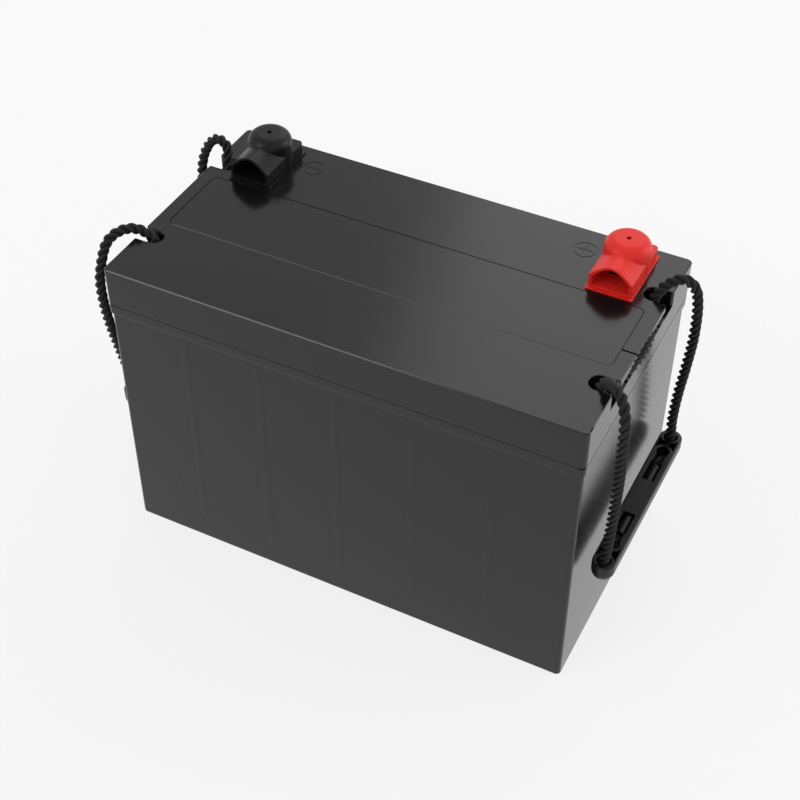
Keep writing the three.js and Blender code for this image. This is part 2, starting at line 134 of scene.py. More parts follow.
def slabBetween(name, x, y, bottom, top):    # a plain cutter between two x and two y
    centre = ((x[0] + x[1]) / 2, (y[0] + y[1]) / 2)
    halfX, halfY = abs(x[1] - x[0]) / 2, abs(y[1] - y[0]) / 2
    return block(name, halfX, halfY, tiny, bottom, top, centre=centre, steps=1)


def lathe(name, profile, centre=(0, 0), sides=48, loop=False):
    turns = [2 * math.pi * i / sides for i in range(sides)]
    rings = [[(centre[0] + r * math.cos(a), centre[1] + r * math.sin(a), z) for a in turns]
             for r, z in profile]
    return loft(name, rings, loop)


def settle(piece):                           # turns the modifiers into plain mesh
    graph = bpy.context.evaluated_depsgraph_get()
    mesh = bpy.data.meshes.new_from_object(piece.evaluated_get(graph))
    old = piece.data
    piece.modifiers.clear()
    piece.data = mesh
    bpy.data.meshes.remove(old)


def discard(piece):
    mesh = piece.data
    bpy.data.objects.remove(piece)
    bpy.data.meshes.remove(mesh)


def carve(piece, tools, operation="DIFFERENCE"):
    for tool in tools:
        cut = piece.modifiers.new("cut", "BOOLEAN")
        cut.operation, cut.solver, cut.object = operation, "EXACT", tool
    settle(piece)
    for tool in tools:
        discard(tool)
    return piece


def joined(piece, others):                   # puts several shells in one mesh
    shape = bmesh.new()
    for part in (piece, *others):
        shape.from_mesh(part.data)
    shape.to_mesh(piece.data)
    shape.free()
    for part in others:
        discard(part)


def mergeFlat(piece, angle=0.4):             # joins coplanar faces, so that bevels run clean
    shape = bmesh.new()
    shape.from_mesh(piece.data)
    bmesh.ops.remove_doubles(shape, verts=shape.verts, dist=0.002 * mm)
    bmesh.ops.dissolve_limit(shape, angle_limit=math.radians(angle), verts=shape.verts, edges=shape.edges)
    shape.to_mesh(piece.data)
    shape.free()


def softenEdges(piece, width, angle=40, segments=2):
    bevel = piece.modifiers.new("edges", "BEVEL")
    bevel.width, bevel.segments = width * mm, segments
    bevel.limit_method, bevel.angle_limit = "ANGLE", math.radians(angle)
    settle(piece)


def smooth(piece, angle=38, weighted=True):
    piece.data.shade_smooth()
    piece.data.set_sharp_from_angle(angle=math.radians(angle))
    if weighted:
        normals = piece.modifiers.new("normals", "WEIGHTED_NORMAL")
        normals.keep_sharp = True


def remeshSoft(piece, voxel, rounds, keep):  # rounds every edge a little, as in soft moulded vinyl
    remesh = piece.modifiers.new("skin", "REMESH")
    remesh.mode, remesh.voxel_size = "VOXEL", voxel * mm
    relax = piece.modifiers.new("relax", "SMOOTH")
    relax.factor, relax.iterations = 0.5, rounds
    thin = piece.modifiers.new("thin", "DECIMATE")
    thin.ratio = keep
    settle(piece)


# ---- shader tools
class Wire:                                  # a socket that can be used in sums
    def __init__(self, finish, socket):
        self.finish, self.socket = finish, socket

    def maths(self, operation, first, second):
        return self.finish.node("Math", {"operation": operation}, {0: first, 1: second})

    def __add__(self, other):
        return self.maths("ADD", self, other)

    def __radd__(self, other):
        return self.maths("ADD", other, self)

    def __mul__(self, other):
        return self.maths("MULTIPLY", self, other)

    def __rmul__(self, other):
        return self.maths("MULTIPLY", other, self)


class Finish:                                # one material with its nodes
    def __init__(self, name, **constants):
        self.material = bpy.data.materials.new(name)
        self.material.use_nodes = True
        self.tree = self.material.node_tree
        self.surface = self.tree.nodes["Principled BSDF"]
        for socket, value in constants.items():
            self.surface.inputs[socket.replace("_", " ")].default_value = value

    def feed(self, socket, value):
        if isinstance(value, Wire):
            self.tree.links.new(value.socket, socket)
        else:
            socket.default_value = value

    def node(self, kind, settings=None, values=None, output=0):
        made = self.tree.nodes.new("ShaderNode" + kind)
        for key, value in (settings or {}).items():
            setattr(made, key, value)
        for key, value in (values or {}).items():
            self.feed(made.inputs[key], value)
        return Wire(self, made.outputs[output])

    def place(self, output="Object"):
        return self.node("TexCoord", output=output)

    def noise(self, vector, scale, detail=3.0, rough=0.55):
        return self.node("TexNoise", {}, {
            "Vector": vector, "Scale": scale, "Detail": detail, "Roughness": rough})

    def stretch(self, vector, scale):
        return self.node("VectorMath", {"operation": "MULTIPLY"}, {0: vector, 1: scale})

    def blend(self, factor, first, second):
        return self.node("Mix", {"data_type": "RGBA"}, {0: factor, 6: (*first, 1), 7: (*second, 1)}, 2)

    def set(self, socket, value):
        self.feed(self.surface.inputs[socket], value)

    def relief(self, height, distance, strength=1.0):
        bump = self.node("Bump", {}, {"Strength": strength, "Distance": distance, "Height": height})
        self.set("Normal", bump)


# ---- finishes
def mouldedPlastic(name, dark, light, roughness, speckle, ior=1.44):
    finish = Finish(name, IOR=ior)
    where = finish.place()
    cloud = finish.noise(where, 14.0)
    grain = finish.noise(where, 1500.0, 2.0)
    finish.set("Base Color", finish.blend(cloud, dark, light))
    finish.set("Roughness", roughness - 0.03 + 0.06 * cloud + 0.05 * grain)
    scuffs = finish.noise(finish.stretch(where, (40.0, 420.0, 420.0)), 1.0, 2.0)
    finish.relief(grain * 0.7 + scuffs * 0.3, speckle * mm, 0.5)
    return finish.material


def softVinyl(name, shade, deep, roughness):
    finish = Finish(name, IOR=1.34, Sheen_Weight=0.03, Sheen_Roughness=0.4)
    where = finish.place()
    cloud = finish.noise(where, 60.0)
    grain = finish.noise(where, 2200.0, 3.0)
    finish.set("Base Color", finish.blend(cloud, shade, deep))
    finish.set("Roughness", roughness + 0.08 * grain)
    finish.relief(grain, 0.03 * mm, 0.6)
    return finish.material


def twistedRope(name):
    finish = Finish(name, IOR=1.34, Sheen_Weight=0.06, Sheen_Roughness=0.5)
    along = finish.place("UV")
    fibre = finish.noise(finish.stretch(along, (18.0, 240.0, 1.0)), 1.0, 3.0, 0.6)
    fuzz = finish.noise(finish.place(), 900.0, 3.0)
    finish.set("Base Color", finish.blend(fibre, (0.0035, 0.0035, 0.004), (0.011, 0.011, 0.012)))
    finish.set("Roughness", 0.5 + 0.2 * fuzz)
    finish.relief(fibre * 0.75 + fuzz * 0.25, 0.1 * mm, 0.6)
    return finish.material


def metal(name, shade, deep, roughness, brushed=(1.0, 1.0, 1.0)):
    finish = Finish(name, Metallic=1.0)
    where = finish.place()
    lines = finish.noise(finish.stretch(where, brushed), 300.0, 4.0)
    stain = finish.noise(where, 90.0)
    finish.set("Base Color", finish.blend(stain, shade, deep))
    finish.set("Roughness", roughness - 0.08 + 0.16 * lines)
    finish.relief(lines, 0.02 * mm, 0.5)
    return finish.material


def dryPaste(name, shade, deep, pitch):
    finish = Finish(name)
    where = finish.place()
    crumb = finish.noise(where, pitch, 5.0, 0.7)
    finish.set("Base Color", finish.blend(crumb, shade, deep))
    finish.set("Roughness", 0.7 + 0.25 * crumb)
    finish.relief(crumb, 0.15 * mm, 0.8)
    return finish.material


finishes = {
    "case_plastic": mouldedPlastic("black_case_plastic", (0.0045, 0.0045, 0.0048),
                                   (0.0065, 0.0065, 0.0068), 0.155, 0.005),
    "black_boot": softVinyl("black_soft_vinyl", (0.0028, 0.0028, 0.003), (0.004, 0.004, 0.0042), 0.34),
    "red_boot": softVinyl("red_soft_vinyl", (0.70, 0.019, 0.013), (0.76, 0.023, 0.016), 0.38),
    "valve_rubber": softVinyl("black_valve_rubber", (0.010, 0.010, 0.010), (0.016, 0.016, 0.016), 0.55),
    "brass": metal("turned_brass", (0.60, 0.43, 0.18), (0.46, 0.31, 0.12), 0.3),
    "steel": metal("plated_steel", (0.62, 0.63, 0.64), (0.48, 0.49, 0.50), 0.28, (1.0, 1.0, 6.0)),
    "lead": metal("dull_lead", (0.26, 0.27, 0.30), (0.17, 0.18, 0.20), 0.55),
    "positive_paste": dryPaste("brown_paste", (0.16, 0.085, 0.055), (0.08, 0.04, 0.028), 420.0),
    "glass_mat": dryPaste("glass_fibre_mat", (0.86, 0.85, 0.82), (0.70, 0.69, 0.66), 1400.0),
    "rope": twistedRope("black_twisted_rope"),
    "grip_plastic": mouldedPlastic("black_grip_plastic", (0.004, 0.004, 0.0042),
                                   (0.006, 0.006, 0.006), 0.34, 0.02, 1.38),
}
slotOf = {s["node"]: s["material_slot"] for s in frame["record"]["subparts"]}
bodyOf = {node: body for body, nodes in frame["record"]["behaviour"]["bodies"].items() for node in nodes}


def finishNode(node, piece=None):            # a new piece takes its node's place, body and finish
    slot = slotOf[node]
    shown = piece or bpy.data.objects[node]
    shown.data.materials.clear()
    shown.data.materials.append(finishes[slot])
    if piece:
        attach(piece, bodyOf[node])
        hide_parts(node)


def span(node):                              # a node's corners in millimetres
    low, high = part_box(node)
    return Vector(low) / mm, Vector(high) / mm


ends = {"left": -1, "right": 1}
poles = {"negative": -1, "positive": 1}

# ---- rope handles: one twisted rope on each end, from the grip through the lid and back to the grip
rope = {"diameter": 6.6, "strand": 1.6, "offset": 1.78, "lay": 15.9, "around": 36, "step": 0.66,
        "fibre": 0.1, "crease": 70}
grip = {"x": 165.5, "top": 90, "width": 14.5, "height": 14, "brow": 0.9, "holeY": 58, "ringY": 43.5,
        "hole": 4.6, "ring": 4.2, "depth": 11.5, "pocket": (15.5, 33.3), "pocketWidth": 7.6,
        "pocketDepth": 8.6, "tunnel": (3.5, 5.6), "trough": (3.1, 9), "hollow": (1.3, 5.6, 6, 7.4),
        "holeWall": 1.1, "ringWall": 1.9, "webHalf": 1.1, "edge": 0.22}
hole = {"x": 145, "y": 43, "radius": 6.25, "floor": 197, "channel": 200.1, "reach": 7}
inLid = [(145.6, 43, 208), (145.4, 43, 204.5), (147.2, 40, 201.4), (150.8, 34, 203), (152.3, 22, 203.6)]
lidMiddle = (154.8, 0, 203.6)
legs = {                                     # points from the lid to the grip, with x outward
    "right": {
        "front": {
            "side": -1,
            "bends": [(148, -44.3, 213), (154.5, -52.2, 221.2), (160.2, -58.5, 224.2),
                      (165.4, -63.8, 221.6), (168.2, -67.2, 215.6), (169.4, -68.7, 209)],
            "hang": [(170, -69.6, 197), (169.8, -67.7, 183.6), (169.4, -65.2, 169),
                     (168.6, -62.8, 148), (167.5, -60.6, 124), (166.3, -58.8, 102)]},
        "back": {
            "side": 1,
            "bends": [(147.8, 42.6, 213.6), (152, 43.9, 220.4), (159.8, 46.3, 224.9),
                      (165, 48.7, 221.6), (168, 50.2, 215.6), (169.2, 51.1, 208.4)],
            "hang": [(170, 52, 197.5), (170, 53.2, 180.2), (169, 54.6, 165.3),
                     (167.6, 55.6, 149.5), (165.6, 56.6, 128), (164.6, 57.7, 104)]},
    },
    "left": {
        "front": {
            "side": -1,
            "bends": [(148.6, -43.2, 211), (153.5, -44.6, 214), (159, -48.4, 215.8),
                      (164.4, -53.4, 214.4), (167.6, -57.6, 211.4), (169.4, -61, 206.8)],
            "hang": [(170.9, -65, 196.4), (171, -68.4, 186), (170.4, -69.5, 172),
                     (169.5, -68.1, 152.6), (168.3, -64, 128), (166.8, -59.8, 104)]},
        "back": {
            "side": 1,
            "bends": [(147.6, 47, 213), (150.8, 51.2, 218.4), (157.6, 52.6, 220.8),
                      (163.4, 52.4, 217), (167, 51.8, 210.8), (168.8, 51.2, 206.2)],
            "hang": [(170.6, 49.6, 195), (171.2, 50.6, 177), (169.4, 53, 151),
                     (166, 55.6, 125), (164.8, 57.5, 103)]},
    },
}


def gripRoute(side):                         # down the end hole, under the web and up into the pocket
    x, y, ring, top = grip["x"], grip["holeY"], grip["ringY"], grip["top"]
    steps = [(y, -1), (y - 0.6, -6.6), (y - 4.6, -9.4), (ring + 2, -9.2), (ring - 4.6, -5.4),
             (grip["pocket"][1] + 0.2, -4.6)]
    return [(x, side * across, top + down) for across, down in steps]


def curveThrough(points, step):              # centripetal Catmull-Rom, then evenly spaced
    knots = [Vector(p) for p in points]
    knots = [2 * knots[0] - knots[1], *knots, 2 * knots[-1] - knots[-2]]
    dense, dots = [], 24
    for p0, p1, p2, p3 in zip(knots, knots[1:], knots[2:], knots[3:]):
        t0 = 0.0
        t1 = t0 + (p1 - p0).length ** 0.5
        t2 = t1 + (p2 - p1).length ** 0.5
        t3 = t2 + (p3 - p2).length ** 0.5
        for i in range(dots):
            t = t1 + (t2 - t1) * i / dots
            a1 = (t1 - t) / (t1 - t0) * p0 + (t - t0) / (t1 - t0) * p1
            a2 = (t2 - t) / (t2 - t1) * p1 + (t - t1) / (t2 - t1) * p2
            a3 = (t3 - t) / (t3 - t2) * p2 + (t - t2) / (t3 - t2) * p3
            b1 = (t2 - t) / (t2 - t0) * a1 + (t - t0) / (t2 - t0) * a2
            b2 = (t3 - t) / (t3 - t1) * a2 + (t - t1) / (t3 - t1) * a3
            dense.append((t2 - t) / (t2 - t1) * b1 + (t - t1) / (t2 - t1) * b2)
    dense.append(knots[-2])
    total = sum((b - a).length for a, b in zip(dense, dense[1:]))
    gap = total / round(total / step)
    even, walked, due = [dense[0]], 0.0, gap
    for a, b in zip(dense, dense[1:]):
        length = (b - a).length
        while walked + length >= due - 1e-9 and length > 0:
            even.append(a.lerp(b, (due - walked) / length))
            due += gap
        walked += length
    return even


def strandOutline(angle):                    # how far three laid strands stand out from the middle
    third = 2 * math.pi / 3
    off = (angle + third / 2) % third - third / 2
    return (rope["offset"] * math.cos(off)
            + math.sqrt(rope["strand"] ** 2 - (rope["offset"] * math.sin(off)) ** 2))


def ropePiece(name, path, first, last, frames):
    count = rope["around"]
    rings = []
    for k in range(first, last + 1):
        side, up = frames[k]
        twist = 2 * math.pi * k * rope["step"] / rope["lay"]
        ring = []
        for i in range(count):
            angle = 2 * math.pi * i / count
            reach = strandOutline(angle)
            ring.append(path[k] + reach * (math.cos(angle + twist) * side + math.sin(angle + twist) * up))
        rings.append(ring)
    piece = loft(name, rings)
    layer = piece.data.uv_layers.new(name="along")
    for face in piece.data.polygons:         # u runs along the rope and v round it
        around = [v % count for v in face.vertices]
        wraps = max(around) - min(around) > count / 2
        for loop, vertex in zip(face.loop_indices, face.vertices):
            v = vertex % count / count
            u = (first + vertex // count) * rope["step"] * rope["fibre"]
            layer.data[loop].uv = (u, v + (wraps and v < 0.5))
    smooth(piece, rope["crease"], weighted=False)
    return piece


def carriedFrames(path):                     # two directions across the rope, carried along without twist
    frames = []
    side = Vector((0, 0, 1)).cross(path[1] - path[0])
    if side.length < 1e-3:
        side = Vector((1, 0, 0))
    for k, point in enumerate(path):
        tangent = (path[min(k + 1, len(path) - 1)] - path[max(k - 1, 0)]).normalized()
        side = (side - side.dot(tangent) * tangent).normalized()
        frames.append((side, tangent.cross(side)))
    return frames


def nearest(path, point):
    return min(range(len(path)), key=lambda k: (path[k] - point).length)


def declareRope(piece, path, first, last, exitPoint, **facts):
    line = [path[k] * mm for k in range(first, last + 1)]
    length = sum((b - a).length for a, b in zip(line, line[1:]))
    return length / mm


def buildRope(end):
    flip = Vector((ends[end], 1, 1))
    route = []
    for name in ("front", "back"):
        leg = legs[end][name]
        lid = [(x, leg["side"] * y, z) for x, y, z in inLid]
        outward = lid[::-1] + leg["bends"] + leg["hang"] + gripRoute(leg["side"])
        route += outward[::-1] + [lidMiddle] if name == "front" else outward
    path = curveThrough([Vector(p) * flip for p in route], rope["step"])
    frames = carriedFrames(path)
    middle = {}
    for name, leg in legs[end].items():
        a, b, c = (Vector(leg["bends"][k]) * flip for k in (0, 2, 5))
        middle[name] = nearest(path, (a + b) / 2), nearest(path, (b + c) / 2)
    cuts = [0, middle["front"][1], middle["front"][0], middle["back"][0], middle["back"][1], len(path) - 1]
    names = ["front_rope_leg", "front_rope_fall", "rope_through_lid", "back_rope_fall", "back_rope_leg"]
    made = {}
    for name, first, last in zip(names, cuts, cuts[1:]):
        piece = ropePiece(f"{end}_{name}_strands", path, first, last, frames)
        piece.data.materials.append(finishes["rope"])
        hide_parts(f"{end}_{name}")
        made[name] = piece, first, last
    lidPiece, first, last = made["rope_through_lid"]
    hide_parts(f"{end}_front_rope_rise", f"{end}_back_rope_rise")
    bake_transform(lidPiece)
    declareRope(lidPiece, path, first, last, path[first], lay="taut",
                with_pieces=[made["front_rope_fall"][0], made["back_rope_fall"][0]])
    for name in legs[end]:
        fall = made[f"{name}_rope_fall"][0]
        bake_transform(fall)
        leg, first, last = made[f"{name}_rope_leg"]
        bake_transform(leg)
        length = declareRope(leg, path, first, last, path[middle[name][1]], lay="hanging")
        print(f"{end} {name} rope leg: {length:.0f} mm")


for end in ends:
    buildRope(end)
print("ropes done")


# ---- case: open box with a rounded foot, a proud band round the mouth and soft ribs at the cell walls
case = {"corner": 3, "foot": 1.2, "bandBottom": 177.5, "bandInset": 0.7, "bandProud": 0.95,
        "bandRamp": ((0, -0.3), (0.2, 0), (0.75, 0.25), (0.95, 0.7)),         # how proud, and how high
        "ribSpacing": 51, "ribProud": 0.16, "ribHalf": 4, "ribLow": 22, "ribHigh": 175,
        "ribStart": ((-1.5, 0), (-0.5, 0.35), (0.8, 0.9), (2, 1)),            # height, and share of the rib
        "ribEnd": ((-3, 1), (-1.6, 0.9), (-0.5, 0.35), (0.5, 0)),
        "wall": 3.5, "floor": 4, "innerHalf": 79.5, "partition": 2.2, "slit": 0.45, "slitDepth": 2,
        "cellCorner": 2, "cellFoot": 1.5, "linkZ": 164, "linkY": 52, "linkRadius": 5.3, "linkHalf": 3}
ribX = [k * case["ribSpacing"] for k in (-2, -1, 0, 1, 2)]


def buildCase():
    low, high = span("case")
    halfX, halfY = high.x - case["bandInset"], high.y - case["bandInset"]
    across = [-1, -0.66, -0.33, 0, 0.33, 0.66, 1]

    def ring(proud, z, ribs, short=0.0):
        points = []
        outline = roundedRing(halfX + proud - short, halfY + proud, case["corner"], z)
        quarter = len(outline) // 4
        for k in range(4):
            points += outline[k * quarter:(k + 1) * quarter]
            if k in (0, 2):                  # the long sides carry the ribs
                side = 1 if k == 0 else -1
                for x in sorted(ribX, reverse=side > 0):
                    for t in across if side < 0 else across[::-1]:
                        bump = ribs * case["ribProud"] * math.cos(t * math.pi / 2) ** 2
                        points.append((x + t * case["ribHalf"], side * (halfY + proud + bump), z))
        return points

    rings = [ring(-inset, z, 0) for inset, z in edgeLevels(0, 10, case["foot"], 0)[:-1]]
    for z, ribs in case["ribStart"]:
        rings.append(ring(0, case["ribLow"] + z, ribs))
    for z, ribs in case["ribEnd"]:
        rings.append(ring(0, case["ribHigh"] + z, ribs))
    for proud, rise in case["bandRamp"]:
        rings.append(ring(proud, case["bandBottom"] + rise, 0))
    slit = high.z - case["slit"]             # a narrow shadow gap under the lid, open at the two ends
    rings.append(ring(case["bandProud"], slit, 0))
    rings.append(ring(case["bandProud"], slit, 0, case["slitDepth"]))
    rings.append(ring(case["bandProud"], high.z, 0, case["slitDepth"]))
    shell = loft("case_shell", rings)
    outer = halfX - case["wall"] + case["partition"] / 2
    edges = [-outer, *ribX, outer]
    tools = []
    for x0, x1 in zip(edges, edges[1:]):
        half, middle = (x1 - x0 - case["partition"]) / 2, ((x0 + x1) / 2, 0)
        tools.append(block("cell", half, case["innerHalf"], case["cellCorner"], case["floor"], high.z + 2,
                           foot=case["cellFoot"], centre=middle, steps=3))
    for k, x in enumerate(ribX):
        y = case["linkY"] * (-1 if k % 2 == 0 else 1)
        radius, half = case["linkRadius"], case["linkHalf"]
        pin = lathe("link", [(radius, -half), (radius, half)], sides=20)
        pin.data.transform(Matrix.Translation(Vector((x, y, case["linkZ"])) * mm)
                           @ Matrix.Rotation(math.pi / 2, 4, "Y"))
        tools.append(pin)
    carve(shell, tools)
    smooth(shell)
    finishNode("case", shell)


# ---- lid: one moulding with rounded rims, notched rope holes, end grooves, the vent recess and pole marks
lid = {"corner": 3.2, "brow": 0.6, "foot": 0.1, "edge": 0.18, "recess": (145.8, 27.7, 4.3, 208),
       "plenum": (139, 11.5, 3, 199), "plenumFloor": 3, "notchFlare": 0.6, "groove": (147, 200.1, 207.1),
       "grooveReach": 47, "grooveLip": 1.2, "spine": 15, "endBlock": 138, "ceiling": 207,
       "endCeiling": 194, "boss": 12, "neck": 5, "bore": 3, "neckTop": 204.5,
       "slot": (-11.6, 0.65, 209.2), "bushBore": 7.3, "bushBottom": 197}
vent = {"grow": 0.17, "corner": 4, "foot": 0.2, "brow": 0.4, "cap": 6.5, "capGap": 0.3, "capLip": 0.45}
mark = {"x": 93.5, "y": 64, "radius": 7, "line": 0.36, "depth": 0.26, "arm": 5.1}
terminal = {"x": 121.5, "y": 57.5}


def notchCutter(side, across, top):          # the rope hole, open to the end face, with a softly flared rim
    reach, flare = span("lid")[1].x, lid["notchFlare"]
    rings = []
    levels = [(0, hole["channel"]), (0, top - flare)]
    for i in range(1, 7):
        a = i / 6 * math.pi / 2
        levels.append((flare * (1 - math.cos(a)), top - flare * (1 - math.sin(a))))
    levels.append((flare, top + 1))
    for grow, z in levels:
        radius = hole["radius"] + grow
        outline = [(hole["x"] + radius * math.cos(a), radius * math.sin(a))
                   for a in [math.pi / 2 + k / 20 * math.pi for k in range(21)]]
        mouth = 1.6                          # rounds the two upright edges on the end face
        for turn in (-1, 1):
            bend = [k / 5 * math.pi / 2 for k in range(6)]
            if turn > 0:
                bend = bend[::-1]
            outline += [(reach - mouth + mouth * math.sin(a), turn * (radius + mouth * (1 - math.cos(a))))
                        for a in bend]
            if turn < 0:
                outline += [(reach + 3, -(radius + mouth)), (reach + 3, radius + mouth)]
        rings.append([(side * x, across * hole["y"] + y, z) for x, y in outline])
    return loft("notch", rings)


def poleMark(side, top):                     # an engraved circle with a bar, or with a cross
    line, bottom, above = mark["line"], top - mark["depth"], top + 1
    centre = (side * mark["x"], mark["y"])
    inner, outer = mark["radius"] - line, mark["radius"] + line
    ring = lathe("mark_ring", [(inner, bottom), (outer, bottom), (outer, above), (inner, above)],
                 centre, 64, loop=True)
    bar = block("mark_bar", mark["arm"], line, line * 0.9, bottom, above, centre=centre, steps=4)
    if side > 0:
        arm = block("mark_arm", line, mark["arm"], line * 0.9, bottom, above, centre=centre, steps=4)
        carve(bar, [arm], "UNION")
    return [ring, bar]


def buildLid():
    low, high = span("lid")
    top = high.z
    shell = block("lid_moulding", high.x, high.y, lid["corner"], low.z, top, lid["foot"], lid["brow"],
                  steps=12, edge=1)
    caseSpan = span("case")[1]
    inside = caseSpan.x - case["bandInset"] - case["wall"]
    halfWall = case["partition"] / 2
    walls = [-inside - halfWall, *ribX, inside + halfWall]
    tools = []
    for x0, x1 in zip(walls, walls[1:]):     # the roof of each cell
        x = (max(x0 + halfWall, -lid["endBlock"]), min(x1 - halfWall, lid["endBlock"]))
        for side in (-1, 1):
            y = side * lid["spine"], side * case["innerHalf"]
            tools.append(slabBetween("roof", x, y, low.z - 1, lid["ceiling"]))
        tools.append(slabBetween("spine", x, (-lid["spine"] - 1, lid["spine"] + 1), low.z - 1,
                                 lid["plenum"][3] - lid["plenumFloor"]))
    for side in (-1, 1):
        tools.append(slabBetween("end", (side * inside, side * (lid["endBlock"] - 1)),
                                 (-case["innerHalf"], case["innerHalf"]), low.z - 1, lid["endCeiling"]))
    carve(shell, tools)
    bosses = [lathe("boss", [(lid["boss"], lid["bushBottom"]), (lid["boss"], lid["ceiling"] + 1)],
                    (side * terminal["x"], terminal["y"])) for side in (-1, 1)]
    carve(shell, bosses, "UNION")
    x, y, corner, floor = lid["recess"]
    tools = [block("recess", x, y, corner, floor, top + 1, steps=10)]
    x, y, corner, floor = lid["plenum"]
    tools.append(block("plenum", x, y, corner, floor, lid["recess"][3] + 1, foot=1, steps=6))
    middle, half, floor = lid["slot"]
    tools.append(slabBetween("slot", (lid["recess"][0] - 1, high.x + 1), (middle - half, middle + half),
                             floor, top + 1))
    for side in (-1, 1):
        tools.append(lathe("bush", [(lid["bushBore"], low.z), (lid["bushBore"], top + 1)],
                           (side * terminal["x"], terminal["y"])))
        inner, bottom, roof = lid["groove"]
        tools.append(slabBetween("groove", (side * inner, side * (high.x + 2)),
                                 (-lid["grooveReach"], lid["grooveReach"]), bottom, roof))
        tools += poleMark(side, top)
        for across in (-1, 1):
            tools.append(notchCutter(side, across, top))
            near, far = hole["y"] - hole["radius"] - hole["reach"], hole["y"] + hole["radius"]
            x = side * (hole["x"] - 2), side * (high.x - lid["grooveLip"])
            tools.append(slabBetween("passage", x, (across * near, across * far), hole["floor"],
                                     lid["groove"][2]))
    carve(shell, tools)
    cellX = [(a + b) / 2 for a, b in zip(walls, walls[1:])]
    neck, bore, neckTop = lid["neck"], lid["bore"], lid["neckTop"]
    carve(shell, [lathe("neck", [(neck, lid["plenum"][3] - 1), (neck, neckTop)], (x, 0), 32)
                  for x in cellX], "UNION")
    carve(shell, [lathe("bore", [(bore, low.z), (bore, neckTop + 1)], (x, 0), 24) for x in cellX])
    mergeFlat(shell)
    softenEdges(shell, lid["edge"], 50)
    smooth(shell)
    finishNode("lid", shell)
    return cellX


def buildVent(cellX):
    low, high = span("vent_cover")
    grow = vent["grow"]                      # leaves a hairline round the plate
    plate = block("vent_plate", high.x + grow, high.y + grow, vent["corner"], low.z, high.z, vent["foot"],
                  vent["brow"], steps=10, edge=1)
    smooth(plate)
    finishNode("vent_cover", plate)
    for k, x in enumerate(cellX):            # a stretch-fit cap with a rolled lip
        node = f"vent_valve_{k + 1}"
        low, high = span(node)
        radius, side = vent["cap"], vent["cap"] - vent["capLip"]
        inner, roof = lid["neck"] + vent["capGap"], lid["neckTop"] + vent["capGap"]
        profile = [(tiny, roof), (inner - 0.4, roof), (inner, roof - 0.4), (inner, low.z),
                   (radius - 0.4, low.z), (radius, low.z + 0.4), (radius, low.z + 1.2), (side, low.z + 1.6),
                   (side, high.z - 0.9), (radius - 0.8, high.z - 0.3), (radius - 1.6, high.z),
                   (2.2, high.z), (1.9, high.z - 0.35), (tiny, high.z - 0.4)]
        cap = lathe(f"{node}_cap", profile, (x, 0))
        smooth(cap)
        finishNode(node, cap)


buildCase()
print("case done")
buildVent(buildLid())
print("lid and vents done")


# ---- terminals: bush, washers and bolt under a soft boot
boot = {"lip": 1.2, "plate": 0.8, "gap": 0.5, "sill": 2.7, "wall": 2.1, "roof": 1.8, "floorEnd": 46.5,
        "eaves": 221.4, "innerEaves": 220.4, "ridge": 230.1, "deck": 220.5, "deckBrow": 1.2, "dome": 14.2,
        "domeRound": 7, "hole": 1.5, "neckInset": 0.7, "edge": 0.12, "voxel": 0.36, "relax": 2, "keep": 0.4}
bush = {"body": 7, "flange": 10, "flangeDepth": 3, "floor": 3}
washer = {"bore": 4.3, "plain": 8.5, "spring": 6.8, "gapAngle": 10}
bolt = {"shank": 3.9, "tip": 3.2, "head": 7.5, "headDepth": 5.3, "crown": 6.2, "middle": 0.4}


def tunnelBlock(name, half, eaves, ridge, bottom, y0, y1, x):
    outline = [(-half, bottom), (half, bottom)]
    for i in range(33):                      # the roof arches as a cosine, with a crease at the eaves
        across = 1 - i / 16
        outline.append((half * across, eaves + (ridge - eaves) * math.cos(across * math.pi / 2)))
    return loft(name, [[(x + across, y, z) for across, z in outline] for y in (y0, y1)])


def domeBlock(name, radius, bottom, top, roundness, centre):
    arc = [(radius - roundness + roundness * math.cos(i / 8 * math.pi / 2),
            top - roundness + roundness * math.sin(i / 8 * math.pi / 2)) for i in range(9)]
    return lathe(name, [(radius, bottom), *arc, (0.4, top)], centre)


